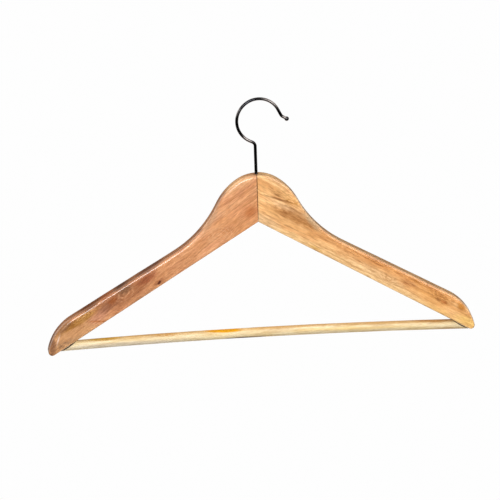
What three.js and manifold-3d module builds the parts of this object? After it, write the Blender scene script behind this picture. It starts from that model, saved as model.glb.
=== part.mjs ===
// A wooden suit hanger: two mitred arms glued over dowels, a round trouser bar let into their undersides,
// and a wire hook that swivels in the hub. Millimetres, +Z up, the front face towards -Y.
// Everything is laid out from the crotch, the point where the two lower edges meet, and the finished
// group is then lowered so that its origin is the hook's seat, where the rail bears on the wire.
import * as THREE from 'three';
import { mergeVertices } from 'three/addons/utils/BufferGeometryUtils.js';
import Module from 'manifold-3d';

// Arms: the outline of the pair, seen from the front. Slopes are degrees below the horizontal.
const SPAN = 445;
const THICKNESS = 14.4;
const HUB_HEIGHT = 50.6;
const CROWN_HALF_WIDTH = 11.5;
const CROWN_SLOPE = 33.8;
const FLANK_SLOPE = 62.1;
const NECK_X = 59.4;
const NECK_Z = -11.9;
const SHOULDER_RADIUS = 116;
const ARM_SLOPE = 30.1;
const END_RADIUS = 51;
const END_SLOPE = 79;
const TIP_RADIUS = 3.9;
const UNDERSIDE_SLOPE = 31.2;
const EDGE_ROUND = 2.4;
const EDGE_ROUND_STEPS = 3;
const ARC_STEPS = 9;
const MITRE_GAP = 0.3;

// Hook: one length of wire, from its rivet head up the stem, round the ring and out to the ball end.
const WIRE_RADIUS = 1.6;
const WIRE_SIDES = 10;
const WIRE_STEPS = 96;
const STEM_TOP = 80.3;
const STEM_BEND = { radius: 5.2, turn: 68 };
const RING_LOWER = { radius: 24, turn: -126 };
const RING_UPPER = { radius: 22, turn: -96 };
const NOSE_RUN = 7;
const NOSE_BEND = { radius: 5, turn: 32 };
const NOSE_TAIL = 4.8;
const BALL_RADIUS = 2.4;
const HEAD_RADIUS = 2.9;
const HEAD_HEIGHT = 2.2;

// Where the stem runs through the hub: a bore down the mitre and a pocket for the washer and the head.
const RUNNING_CLEARANCE = 0.4;
const FIT_GAP = 0.3;
const POCKET_RADIUS = 4.2;
const POCKET_TOP = 9;
const WASHER_RADIUS = 3.7;
const WASHER_THICKNESS = 1;

// Dowels across the mitre, one in front of the stem and one behind it.
const DOWEL_RADIUS = 1.25;
const DOWEL_HALF_LENGTH = 10;
const DOWEL_OFFSET_Y = 4.3;
const FRONT_DOWEL_Z = 34;
const BACK_DOWEL_Z = 20;

// Trouser bar: a dowel that bows up a little and sits a little lower in the right arm.
const BAR_RADIUS = 5.2;
const BAR_HALF_LENGTH = 217;
const BAR_CHAMFER = 1;
const BAR_Z = -125.5;
const BAR_TILT = -0.5;
const BAR_BOW = 3.3;
const BAR_BOW_HALF_SPAN = 205;
const BAR_STEPS = 14;
const BAR_SIDES = 28;

// Brads that pin the bar's ends from behind.
const BRAD_X = 211;
const BRAD_RADIUS = 0.6;
const BRAD_HEAD_RADIUS = 1.2;
const BRAD_HEAD_THICKNESS = 0.7;
const BRAD_TIP_Y = -2;

const ROUND_SIDES = 24;
const LONG = 1000;

const wasm = await Module();
wasm.setup();

const radians = THREE.MathUtils.degToRad;

/** A closed three.js geometry as a manifold solid. */
function solidOf(geometry) {
  const bare = geometry.clone();
  bare.deleteAttribute('normal');
  bare.deleteAttribute('uv');
  const merged = mergeVertices(bare, 1e-4);
  return new wasm.Manifold(new wasm.Mesh({
    numProp: 3,
    vertProperties: new Float32Array(merged.attributes.position.array),
    triVerts: new Uint32Array(merged.index.array),
  }));
}

/** A manifold solid as a three.js geometry. */
function geometryOf(solid) {
  const mesh = solid.getMesh();
  const geometry = new THREE.BufferGeometry();
  geometry.setAttribute('position', new THREE.BufferAttribute(mesh.vertProperties, 3));
  geometry.setIndex(new THREE.BufferAttribute(mesh.triVerts, 1));
  geometry.computeVertexNormals();
  return geometry;
}

/** A round bar along 'x', 'y' or 'z' from one coordinate to another, at a place across that axis. */
function rod(axis, radius, from, to, place, sides = ROUND_SIDES) {
  const geometry = new THREE.CylinderGeometry(radius, radius, to - from, sides);
  if (axis === 'x') geometry.rotateZ(-Math.PI / 2);
  if (axis === 'z') geometry.rotateX(Math.PI / 2);
  const middle = new THREE.Vector3(...place);
  middle[axis] = (from + to) / 2;
  return solidOf(geometry.translate(middle.x, middle.y, middle.z));
}

/** The point where a line through a, sloping down by slopeA, meets a line through b, sloping by slopeB. */
function meet(a, slopeA, b, slopeB) {
  const fallA = Math.tan(radians(slopeA));
  const fallB = Math.tan(radians(slopeB));
  const x = (a.y - b.y + fallA * a.x - fallB * b.x) / (fallA - fallB);
  return new THREE.Vector2(x, a.y - fallA * (x - a.x));
}

/** Distance from a corner to where a fillet of that radius leaves its sides. */
function tangentLength(radius, turn) {
  return radius * Math.tan(radians(turn) / 2);
}

/** The right half of the outline as corners with fillet radii, from beside the crown's top to the tip. */
function rightCorners() {
  const crown = new THREE.Vector2(CROWN_HALF_WIDTH, HUB_HEIGHT);
  const neck = new THREE.Vector2(NECK_X, NECK_Z);
  const cheek = meet(crown, CROWN_SLOPE, neck, FLANK_SLOPE);
  const crownRadius = CROWN_HALF_WIDTH / Math.tan(radians(CROWN_SLOPE) / 2);
  const cheekRun = cheek.distanceTo(crown) - CROWN_HALF_WIDTH;
  const cheekRadius = cheekRun / Math.tan(radians(FLANK_SLOPE - CROWN_SLOPE) / 2);
  const tip = tipCorner();
  const end = meet(neck, ARM_SLOPE, tip, END_SLOPE);
  return [
    { at: crown, radius: crownRadius },
    { at: cheek, radius: cheekRadius },
    { at: neck, radius: SHOULDER_RADIUS },
    { at: end, radius: END_RADIUS },
    { at: tip, radius: TIP_RADIUS },
  ];
}

/** The tip's corner, placed on the underside's line so that its fillet reaches half the span. */
function tipCorner() {
  const inner = radians(END_SLOPE - UNDERSIDE_SLOPE) / 2;
  const bisector = radians((END_SLOPE + UNDERSIDE_SLOPE) / 2);
  const reach = TIP_RADIUS - TIP_RADIUS / Math.sin(inner) * Math.cos(bisector);
  const x = SPAN / 2 - reach;
  return new THREE.Vector2(x, -Math.tan(radians(UNDERSIDE_SLOPE)) * x);
}

/** A closed shape through corners, each rounded by its own radius; a radius of 0 keeps it sharp. */
function filletedShape(corners) {
  const shape = new THREE.Shape();
  corners.forEach(({ at, radius }, i) => {
    const before = corners.at(i - 1).at;
    const after = corners[(i + 1) % corners.length].at;
    const arriving = at.clone().sub(before).normalize();
    const leaving = after.clone().sub(at).normalize();
    const turn = Math.atan2(arriving.cross(leaving), arriving.dot(leaving));
    const trim = tangentLength(radius, THREE.MathUtils.radToDeg(Math.abs(turn)));
    const start = at.clone().addScaledVector(arriving, -trim);
    if (i === 0) shape.moveTo(start.x, start.y);
    else shape.lineTo(start.x, start.y);
    if (radius > 0) {
      const side = Math.sign(turn);
      const centre = start.clone().add(new THREE.Vector2(-arriving.y, arriving.x).multiplyScalar(side * radius));
      const from = Math.atan2(start.y - centre.y, start.x - centre.x);
      shape.absarc(centre.x, centre.y, radius, from, from + turn, turn < 0);
    }
  });
  shape.closePath();
  return shape;
}

/** Both arms as one plate with rounded edges, standing in the XZ plane and centred on Y. */
function armPair() {
  const right = rightCorners();
  const mirrored = right.map(({ at, radius }) => ({ at: new THREE.Vector2(-at.x, at.y), radius }));
  const crotch = { at: new THREE.Vector2(0, 0), radius: 0 };
  const plate = new THREE.ExtrudeGeometry(filletedShape([...right, crotch, ...mirrored.reverse()]), {
    depth: THICKNESS - 2 * EDGE_ROUND,
    curveSegments: ARC_STEPS,
    bevelThickness: EDGE_ROUND,
    bevelSize: EDGE_ROUND,
    bevelOffset: -EDGE_ROUND,
    bevelSegments: EDGE_ROUND_STEPS,
  });
  return solidOf(plate.translate(0, 0, EDGE_ROUND - THICKNESS / 2).rotateX(Math.PI / 2));
}

/** Everything the two arms lose: the stem's bore and pocket, the dowel holes, and the bar's and brads' holes. */
function armCuts() {
  const dowelHole = DOWEL_RADIUS + FIT_GAP;
  const dowelReach = DOWEL_HALF_LENGTH + FIT_GAP;
  const cuts = [
    rod('z', WIRE_RADIUS + RUNNING_CLEARANCE, -LONG, LONG, [0, 0, 0]),
    rod('z', POCKET_RADIUS, -LONG, POCKET_TOP, [0, 0, 0]),
    rod('x', dowelHole, -dowelReach, dowelReach, [0, -DOWEL_OFFSET_Y, FRONT_DOWEL_Z]),
    rod('x', dowelHole, -dowelReach, dowelReach, [0, DOWEL_OFFSET_Y, BACK_DOWEL_Z]),
    barSolid(BAR_RADIUS + FIT_GAP, BAR_HALF_LENGTH + FIT_GAP),
  ];
  for (const side of [-1, 1]) cuts.push(bradSolid(side, FIT_GAP));
  return cuts;
}

/** Half of the pair: side -1 is the left arm, 1 the right one. */
function armSolid(side) {
  const half = new THREE.BoxGeometry(SPAN, SPAN, SPAN);
  half.translate(side * (SPAN + MITRE_GAP) / 2, 0, 0);
  return armCuts().reduce((arm, cut) => arm.subtract(cut), armPair().intersect(solidOf(half)));
}

/** Height of the bar's centreline above the crotch at x. */
function barHeight(x) {
  return BAR_Z + Math.tan(radians(BAR_TILT)) * x + BAR_BOW * (1 - (x / BAR_BOW_HALF_SPAN) ** 2);
}

/** The bowed bar's centreline between -halfLength and +halfLength. */
class BarLine extends THREE.Curve {
  constructor(halfLength) {
    super();
    this.halfLength = halfLength;
  }

  getPoint(t) {
    const x = (2 * t - 1) * this.halfLength;
    return new THREE.Vector3(x, 0, barHeight(x));
  }
}

/** A round section for sweeping. */
function circle(radius, sides) {
  const points = [];
  for (let i = 0; i < sides; i += 1) {
    const angle = i / sides * 2 * Math.PI;
    points.push(new THREE.Vector2(radius * Math.cos(angle), radius * Math.sin(angle)));
  }
  return new THREE.Shape(points);
}

/** A round bar along the bowed centreline. */
function barSolid(radius, halfLength) {
  return solidOf(new THREE.ExtrudeGeometry(circle(radius, BAR_SIDES), {
    steps: BAR_STEPS,
    extrudePath: new BarLine(halfLength),
  }));
}

/** What the bar may fill at one end: everything up to near that end, then a cone that chamfers the rim. */
function endLimit(side) {
  const coneLength = 2 * BAR_RADIUS;
  const coneTip = BAR_HALF_LENGTH + BAR_RADIUS - BAR_CHAMFER;
  const coneBase = coneTip - coneLength;
  const cone = new THREE.ConeGeometry(coneLength, coneLength, BAR_SIDES);
  cone.rotateZ(-side * Math.PI / 2);
  cone.translate(side * (coneTip - coneLength / 2), 0, barHeight(side * BAR_HALF_LENGTH));
  const rest = new THREE.BoxGeometry(LONG, LONG, LONG);
  rest.translate(side * (coneBase - LONG / 2), 0, 0);
  return solidOf(cone).add(solidOf(rest));
}

/** The trouser bar with chamfered ends and a hole for each brad. */
function trouserBar() {
  let bar = barSolid(BAR_RADIUS, BAR_HALF_LENGTH);
  for (const side of [-1, 1]) bar = bar.intersect(endLimit(side)).subtract(bradSolid(side, FIT_GAP));
  return bar;
}

/** A brad with a flat head flush with the back face, grown by a gap where it is used as a cutter. */
function bradSolid(side, gap = 0) {
  const x = side * BRAD_X;
  const place = [x, 0, barHeight(x)];
  const back = THICKNESS / 2 + gap;
  const headFrom = THICKNESS / 2 - BRAD_HEAD_THICKNESS - gap;
  const shank = rod('y', BRAD_RADIUS + gap, BRAD_TIP_Y - gap, back, place);
  return shank.add(rod('y', BRAD_HEAD_RADIUS + gap, headFrom, back, place));
}

/** A point and heading that draw a planar route of runs and arcs in the XZ plane. */
class Route {
  constructor(x, z, heading) {
    this.at = new THREE.Vector3(x, 0, z);
    this.heading = radians(heading);
    this.path = new THREE.CurvePath();
  }

  run(length) {
    const step = new THREE.Vector3(Math.cos(this.heading), 0, Math.sin(this.heading));
    const next = this.at.clone().addScaledVector(step, length);
    this.path.add(new THREE.LineCurve3(this.at, next));
    this.at = next;
    return this;
  }

  /** Turns left by a positive angle in degrees, right by a negative one. */
  arc({ radius, turn }) {
    const arc = new PlanarArc(this.at, this.heading, radius, radians(turn));
    this.path.add(arc);
    this.at = arc.getPoint(1);
    this.heading += radians(turn);
    return this;
  }
}

/** A circular arc in the XZ plane that starts at a point along a heading. */
class PlanarArc extends THREE.Curve {
  constructor(start, heading, radius, turn) {
    super();
    const side = Math.sign(turn);
    this.radius = radius;
    this.turn = turn;
    this.startAngle = heading - side * Math.PI / 2;
    this.centre = new THREE.Vector3(
      start.x - radius * Math.cos(this.startAngle),
      0,
      start.z - radius * Math.sin(this.startAngle),
    );
  }

  getPoint(t) {
    const angle = this.startAngle + t * this.turn;
    return new THREE.Vector3(
      this.centre.x + this.radius * Math.cos(angle),
      0,
      this.centre.z + this.radius * Math.sin(angle),
    );
  }
}

const WASHER_TOP = POCKET_TOP - FIT_GAP;
const HEAD_TOP = WASHER_TOP - WASHER_THICKNESS - FIT_GAP;

/** The wire's centreline, from inside its rivet head to the middle of its ball end. */
function hookRoute() {
  const start = HEAD_TOP - HEAD_HEIGHT / 2;
  return new Route(0, start, 90)
    .run(STEM_TOP - start)
    .arc(STEM_BEND)
    .arc(RING_LOWER)
    .arc(RING_UPPER)
    .run(NOSE_RUN)
    .arc(NOSE_BEND)
    .run(NOSE_TAIL);
}

/** The hook: swept wire with its ball end and the rivet head that carries the hanger. */
function hookSolid() {
  const route = hookRoute();
  const wire = solidOf(new THREE.ExtrudeGeometry(circle(WIRE_RADIUS, WIRE_SIDES), {
    steps: WIRE_STEPS,
    extrudePath: route.path,
  }));
  const ball = new THREE.SphereGeometry(BALL_RADIUS, 16, 12).translate(route.at.x, 0, route.at.z);
  const head = new THREE.LatheGeometry([
    new THREE.Vector2(0, -HEAD_HEIGHT),
    new THREE.Vector2(HEAD_RADIUS * 0.6, -HEAD_HEIGHT),
    new THREE.Vector2(HEAD_RADIUS, -HEAD_HEIGHT / 2),
    new THREE.Vector2(HEAD_RADIUS, 0),
    new THREE.Vector2(0, 0),
  ], ROUND_SIDES);
  head.rotateX(Math.PI / 2).translate(0, 0, HEAD_TOP);
  return wire.add(solidOf(ball)).add(solidOf(head));
}

/** The washer between the rivet head and the pocket's roof. */
function washerSolid() {
  const bottom = WASHER_TOP - WASHER_THICKNESS;
  const disc = rod('z', WASHER_RADIUS, bottom, WASHER_TOP, [0, 0, 0]);
  return disc.subtract(rod('z', WIRE_RADIUS + FIT_GAP, -LONG, LONG, [0, 0, 0]));
}

/** Height above the crotch of the wire's inside surface, straight above the stem. */
function seatHeight() {
  const upper = hookRoute().path.curves[3];
  const inside = upper.radius - WIRE_RADIUS;
  return upper.centre.z + Math.sqrt(inside ** 2 - upper.centre.x ** 2);
}

function wood(color, roughness) {
  return new THREE.MeshStandardMaterial({ color, roughness, metalness: 0 });
}

function metal(color, roughness) {
  return new THREE.MeshStandardMaterial({ color, roughness, metalness: 1 });
}

function addPart(group, name, solid, material) {
  const mesh = new THREE.Mesh(geometryOf(solid), material);
  mesh.name = name;
  group.add(mesh);
}

const hanger = new THREE.Group();
hanger.position.z = -seatHeight();

addPart(hanger, 'left_arm', armSolid(-1), wood('#b67f56', 0.4));
addPart(hanger, 'right_arm', armSolid(1), wood('#e4af76', 0.4));
addPart(hanger, 'trouser_bar', trouserBar(), wood('#efd3a2', 0.5));

for (const [name, y, z] of [
  ['joint_dowel_front', -DOWEL_OFFSET_Y, FRONT_DOWEL_Z],
  ['joint_dowel_back', DOWEL_OFFSET_Y, BACK_DOWEL_Z],
]) {
  const dowel = rod('x', DOWEL_RADIUS, -DOWEL_HALF_LENGTH, DOWEL_HALF_LENGTH, [0, y, z], 16);
  addPart(hanger, name, dowel, wood('#d8b384', 0.7));
}

addPart(hanger, 'bar_brad_left', bradSolid(-1), metal('#a7a9ad', 0.35));
addPart(hanger, 'bar_brad_right', bradSolid(1), metal('#a7a9ad', 0.35));
addPart(hanger, 'hook', hookSolid(), metal('#232427', 0.22));
addPart(hanger, 'hook_washer', washerSolid(), metal('#8d9094', 0.35));

export default hanger;
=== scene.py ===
"""The looks of a wooden suit hanger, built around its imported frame. Metres, +Z up, the front towards -Y."""
import math

import bmesh
import bpy
from mathutils import Matrix, Vector


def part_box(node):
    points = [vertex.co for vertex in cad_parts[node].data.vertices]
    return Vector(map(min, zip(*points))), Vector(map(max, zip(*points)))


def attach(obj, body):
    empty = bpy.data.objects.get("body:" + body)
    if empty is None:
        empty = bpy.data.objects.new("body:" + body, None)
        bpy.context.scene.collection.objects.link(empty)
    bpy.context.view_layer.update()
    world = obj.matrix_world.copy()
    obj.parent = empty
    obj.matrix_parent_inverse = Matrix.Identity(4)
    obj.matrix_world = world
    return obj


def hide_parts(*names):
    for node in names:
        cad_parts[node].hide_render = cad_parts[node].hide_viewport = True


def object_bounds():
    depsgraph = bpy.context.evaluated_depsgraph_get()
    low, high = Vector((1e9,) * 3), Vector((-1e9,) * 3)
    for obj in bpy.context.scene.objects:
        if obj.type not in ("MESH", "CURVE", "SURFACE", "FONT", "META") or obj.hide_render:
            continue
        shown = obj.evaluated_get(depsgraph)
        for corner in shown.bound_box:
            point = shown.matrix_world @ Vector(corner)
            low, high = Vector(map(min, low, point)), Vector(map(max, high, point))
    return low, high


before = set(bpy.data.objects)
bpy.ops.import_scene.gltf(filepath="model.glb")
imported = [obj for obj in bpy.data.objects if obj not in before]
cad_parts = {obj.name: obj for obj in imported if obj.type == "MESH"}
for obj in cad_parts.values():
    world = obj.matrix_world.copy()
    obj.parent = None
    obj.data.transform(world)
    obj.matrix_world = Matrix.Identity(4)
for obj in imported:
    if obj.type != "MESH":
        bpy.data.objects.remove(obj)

CAD_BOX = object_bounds()
MM = 0.001

# The frame's own places. The crotch is the point under the hub where the two lower edges meet.
HUB_HEIGHT = 50.6 * MM
HALF_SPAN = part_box("right_arm")[1].x
HALF_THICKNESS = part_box("right_arm")[1].y
HALF_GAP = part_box("right_arm")[0].x
CROTCH_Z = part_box("right_arm")[1].z - HUB_HEIGHT

# The arms' outline. Slopes are degrees below the horizontal.
CROWN_HALF_WIDTH = 11.5 * MM
CROWN_SLOPE = 33.8
FLANK_SLOPE = 62.1
NECK = Vector((59.4 * MM, -11.9 * MM))
SHOULDER_RADIUS = 116 * MM
ARM_SLOPE = 30.1
END_RADIUS = 51 * MM
END_SLOPE = 79
TIP_RADIUS = 3.9 * MM
UNDERSIDE_SLOPE = 31.2

# Each arm's name and the side of the mitre that it lies on.
SIDES = {"left": -1, "right": 1}

# The roundings of the arms' edges. The left arm, side -1, is rounded further than the right one along its
# upper edge and round its outer end. Hand sanding leaves waves: (share of the rounding, length, phase).
UPPER_EDGE_ROUND = {-1: 3.4 * MM, 1: 2.3 * MM}
END_EDGE_ROUND = {-1: 4.4 * MM, 1: 3.0 * MM}
LOWER_EDGE_ROUND = 1.6 * MM
SANDING_WAVES = ((0.05, 17 * MM, 0), (0.04, 7.3 * MM, 1))

# The arms' mesh: steps along the arm, across it, round an edge and down the side between two edges.
ALONG = 260
ACROSS = 12
ROUND_STEPS = 8
SIDE_STEPS = 4

# Points nearer to each other than this are merged.
MERGE_DISTANCE = 0.001 * MM

# Sides of the round holes for dowels and brads, and of the brads.
HOLE_SIDES = 24
BRAD_SIDES = 32

# The hook's wire. A bend or an arc of the ring is its radius and its turn in degrees, left positive.
WIRE_RADIUS = 1.6 * MM
STEM_TOP = 80.3 * MM
STEM_BEND = (5.2 * MM, 68)
RING_LOWER = (24 * MM, -126)
RING_UPPER = (22 * MM, -96)
NOSE_RUN = 7 * MM
NOSE_BEND = (5 * MM, 32)
NOSE_TAIL = 4.8 * MM
BALL_RADIUS = 2.4 * MM
BALL_STEPS = 16
BALL_NECK_ANGLE = 140
HEAD_RADIUS = 2.9 * MM
HEAD_HEIGHT = 2.2 * MM
WIRE_STEP = 0.7 * MM
WIRE_SIDES = 32

# The rivet head's dome and the rim above it, as shares of its height and its radius.
HEAD_DOME = ((0, 0), (0, 0.45), (0.04, 0.66), (0.16, 0.84), (0.36, 0.96))
HEAD_RIM = ((0.6, 1), (0.82, 1), (0.94, 0.96), (1, 0.86))

# The hub's bore for the stem, with a softened rim, and the pocket for the washer and the rivet head.
BORE_RADIUS = 2 * MM
BORE_RIM_DEPTH = 0.5 * MM
BORE_RIM_FLARE = 0.3 * MM
POCKET_RADIUS = 4.2 * MM
POCKET_TOP = 9 * MM

# The dark line of glue down the mitre.
GLUE_HALF_WIDTH = 0.3 * MM

# The dowels across the mitre.
DOWEL_FLUTES = 12
DOWEL_FLUTE_DEPTH = 0.09 * MM
DOWEL_CHAMFER = 0.5 * MM

# The clearance between a piece and the hole it sits in.
FIT_GAP = 0.3 * MM

# The trouser bar and its sockets. Turning leaves waves on it: (height, length, phase). It is a hair thinner
# than its radius, so that they stay inside it.
BAR_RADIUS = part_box("trouser_bar")[1].y
BAR_HALF_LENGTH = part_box("trouser_bar")[1].x
BAR_Z = -125.5 * MM
BAR_TILT = -0.5
BAR_BOW = 3.3 * MM
BAR_BOW_HALF_SPAN = 205 * MM
BAR_END_EASE = 1 * MM
BAR_THINNED = 0.06 * MM
TURNING_WAVES = ((0.03 * MM, 23 * MM, 0), (0.03 * MM, 9 * MM, 2))
BAR_STEPS = 180
BAR_SIDES = 48
SOCKET_GAP = 0.45 * MM
SOCKET_STEPS = 60

# The brads.
BRAD_X = 211 * MM
BRAD_RADIUS = 0.6 * MM
BRAD_HEAD_RADIUS = 1.2 * MM
BRAD_HEAD_THICKNESS = 0.7 * MM
BRAD_TIP_Y = -2 * MM

# The camera looks at a point near the middle of the hanger from far away.
CAMERA_AZIMUTH = -5.4
CAMERA_ELEVATION = 18.5
CAMERA_ROLL = -1.94
CAMERA_DISTANCE = 8.0
CAMERA_LENS = 556.9
CAMERA_AIM = Vector((-9.0 * MM, 0, CROTCH_Z - 31.93 * MM))

# The white paper behind and below the hanger.
FLOOR_DROP = 1.2
FLOOR_SIZE = 30
PAPER_WHITE = (0.99, 0.99, 0.99, 1)

# The key light: a softbox in front of the hanger, a little to the left and above.
KEY_PLACE = (-0.7, -3.1, 0.78)
KEY_WIDTH = 1.25
KEY_HEIGHT = 1.1
KEY_RADIANCE = 16.3

# The studio's own light: a brighter ceiling over dim walls, a window at the upper right of the front, the
# pale ground behind, and a white screen behind each end. Each has a direction, the cosines of the angles from
# it where its glow starts and where it is full, and the glow at each.
STUDIO_COLOUR = "#fff0e0"
STUDIO_LIGHTS = (
    ((0, 0, 1), 0.35, 0.95, 0.06, 1.25),
    ((0.47, -0.83, 0.3), 0.95, 0.99, 0.0, 7.0),
    ((0.1, 0.6, -0.8), 0.7, 0.95, 0.0, 2.2),
    ((-0.9, 0.35, 0.26), 0.75, 0.98, 0.0, 2.2),
    ((0.9, 0.35, 0.26), 0.75, 0.98, 0.0, 1.9),
)


# ---------------------------------------------------------------- shapes

class Route:
    """Straight runs and arcs in the XZ plane, joined end to end. Turns are degrees, left positive."""

    def __init__(self, start, heading):
        self.pieces = []
        self.end = Vector(start)
        self.heading = math.radians(heading)
        self.length = 0.0

    def run(self, length):
        self._add(length, 0.0)
        return self

    def arc(self, radius, turn):
        turn = math.radians(turn)
        self._add(radius * abs(turn), turn)
        return self

    def _add(self, length, turn):
        if length <= 0:
            return
        self.pieces.append((self.length, length, self.end.copy(), self.heading, turn))
        self.end, self.heading = self._along(self.pieces[-1], length)
        self.length += length

    @staticmethod
    def _along(piece, distance):
        _, length, start, heading, turn = piece
        half_turned = turn * distance / length / 2
        chord = distance * math.sin(half_turned) / half_turned if half_turned else distance
        direction = heading + half_turned
        ahead = Vector((math.cos(direction), math.sin(direction)))
        return start + chord * ahead, heading + 2 * half_turned

    def at(self, distance):
        """The point and the heading at a distance from the start. Past the end it goes straight on."""
        if distance >= self.length:
            onward = Vector((math.cos(self.heading), math.sin(self.heading)))
            return self.end + (distance - self.length) * onward, self.heading
        piece = [p for p in self.pieces if p[0] <= distance][-1]
        return self._along(piece, distance - piece[0])


def meet(a, slope_a, b, slope_b):
    """The point where a line through a, sloping down by slope_a, meets a line through b."""
    fall_a = math.tan(math.radians(slope_a))
    fall_b = math.tan(math.radians(slope_b))
    x = (a.y - b.y + fall_a * a.x - fall_b * b.x) / (fall_a - fall_b)
    return Vector((x, a.y - fall_a * (x - a.x)))


def smooth(low, high, value):
    """0 below low, 1 above high, and a smooth step between."""
    t = min(1.0, max(0.0, (value - low) / (high - low)))
    return t * t * (3 - 2 * t)


def uneven(distance, waves):
    """What waves of (height, length, phase) add up to at a distance."""
    return sum(height * math.sin(distance / length + phase) for height, length, phase in waves)


def tip_corner():
    """The tip's corner on the underside's line, so that its fillet reaches half the span."""
    inner = math.radians(END_SLOPE - UNDERSIDE_SLOPE) / 2
    bisector = math.radians((END_SLOPE + UNDERSIDE_SLOPE) / 2)
    reach = TIP_RADIUS - TIP_RADIUS / math.sin(inner) * math.cos(bisector)
    x = HALF_SPAN - reach
    return Vector((x, -math.tan(math.radians(UNDERSIDE_SLOPE)) * x))


def arm_outline():
    """The right arm's outline from the crown's top to the crotch, and where its tip's arc begins and ends."""
    crown = Vector((CROWN_HALF_WIDTH, HUB_HEIGHT))
    cheek = meet(crown, CROWN_SLOPE, NECK, FLANK_SLOPE)
    crown_radius = CROWN_HALF_WIDTH / math.tan(math.radians(CROWN_SLOPE) / 2)
    cheek_run = (cheek - crown).length - CROWN_HALF_WIDTH
    cheek_radius = cheek_run / math.tan(math.radians(FLANK_SLOPE - CROWN_SLOPE) / 2)
    tip = tip_corner()
    end = meet(NECK, ARM_SLOPE, tip, END_SLOPE)
    crotch = Vector((0, 0))
    corners = [
        (crown, crown_radius, -CROWN_SLOPE),
        (cheek, cheek_radius, CROWN_SLOPE - FLANK_SLOPE),
        (NECK, SHOULDER_RADIUS, FLANK_SLOPE - ARM_SLOPE),
        (end, END_RADIUS, ARM_SLOPE - END_SLOPE),
        (tip, TIP_RADIUS, END_SLOPE - UNDERSIDE_SLOPE - 180),
    ]
    route = Route((0, HUB_HEIGHT), 0)
    for corner, radius, turn in corners:
        trim = radius * math.tan(math.radians(abs(turn)) / 2)
        route.run((corner - route.end).length - trim)
        tip_start = route.length
        route.arc(radius, turn)
    tip_end = route.length
    route.run((crotch - route.end).length)
    return route, tip_start, tip_end


def edge_section(edge_round):
    """How far in from the outline, and at what depth, each ring of the edge lies, from front to back."""
    section = []
    for step in range(ROUND_STEPS + 1):
        angle = math.pi / 2 * step / ROUND_STEPS
        inset = edge_round * (1 - math.sin(angle))
        section.append((inset, -HALF_THICKNESS + edge_round * (1 - math.cos(angle))))
    side_top = -HALF_THICKNESS + edge_round
    for step in range(1, SIDE_STEPS):
        section.append((0.0, side_top * (1 - 2 * step / SIDE_STEPS)))
    return section + [(inset, -y) for inset, y in section[ROUND_STEPS::-1]]


def arm_rings(upper_round, end_round):
    """The edge's rings of the right arm: rings[k][i] is a point, with i running along the outline."""
    route, tip_start, tip_end = arm_outline()
    stops = [tip_start * i / ALONG for i in range(ALONG)]
    stops += [tip_start + (tip_end - tip_start) * i / ACROSS for i in range(ACROSS)]
    stops += [tip_end + (route.length - tip_end) * i / ALONG for i in range(ALONG + 1)]
    columns = []
    for i, stop in enumerate(stops):
        point, heading = route.at(stop)
        inward = Vector((math.sin(heading), -math.cos(heading)))
        if i == 0:
            point.x = HALF_GAP
        if i == len(stops) - 1:
            point = Vector((HALF_GAP, -math.tan(math.radians(UNDERSIDE_SLOPE)) * HALF_GAP))
            inward = Vector((0, 1 / math.cos(math.radians(UNDERSIDE_SLOPE))))
        end = smooth(tip_start - END_RADIUS, tip_start - END_RADIUS / 2, stop)
        lower = smooth(tip_start - END_RADIUS / 4, tip_end, stop)
        edge_round = upper_round + (end_round - upper_round) * end
        edge_round += (LOWER_EDGE_ROUND - edge_round) * lower
        edge_round *= 1 + uneven(stop, SANDING_WAVES)
        column = []
        for inset, y in edge_section(edge_round):
            place = point + inset * inward
            column.append(Vector((place.x, y, CROTCH_Z + place.y)))
        columns.append(column)
    return [list(ring) for ring in zip(*columns)]


def filled_face(ring):
    """A grid of points that fills one flat face, from the ring of points round its free sides."""
    top = ring[:ALONG + 1]
    tip = ring[ALONG:ALONG + ACROSS + 1][::-1]
    bottom = ring[ALONG + ACROSS:][::-1]
    mitre = [bottom[0].lerp(top[0], b / ACROSS) for b in range(ACROSS + 1)]
    grid = []
    for a in range(ALONG + 1):
        s = a / ALONG
        row = []
        for b in range(ACROSS + 1):
            t = b / ACROSS
            ruled = bottom[a].lerp(top[a], t) + mitre[b].lerp(tip[b], s)
            row.append(ruled - bottom[0].lerp(top[0], t).lerp(bottom[-1].lerp(top[-1], t), s))
        grid.append(row)
    return grid


def mesh_object(name, points, faces, sharp=35):
    """A smooth-shaded mesh of the points and faces, with edges over the sharp angle left crisp."""
    mesh = bpy.data.meshes.new(name)
    mesh.from_pydata(points, [], faces)
    obj = bpy.data.objects.new(name, mesh)
    bpy.context.scene.collection.objects.link(obj)
    tidy(obj, sharp)
    return obj


def tidy(obj, sharp=35):
    """Merges coincident points, turns the faces outwards and sets the shading."""
    bm = bmesh.new()
    bm.from_mesh(obj.data)
    bmesh.ops.remove_doubles(bm, verts=bm.verts, dist=MERGE_DISTANCE)
    bmesh.ops.recalc_face_normals(bm, faces=bm.faces)
    bm.to_mesh(obj.data)
    bm.free()
    obj.data.shade_smooth()
    obj.data.set_sharp_from_angle(angle=math.radians(sharp))


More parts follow.
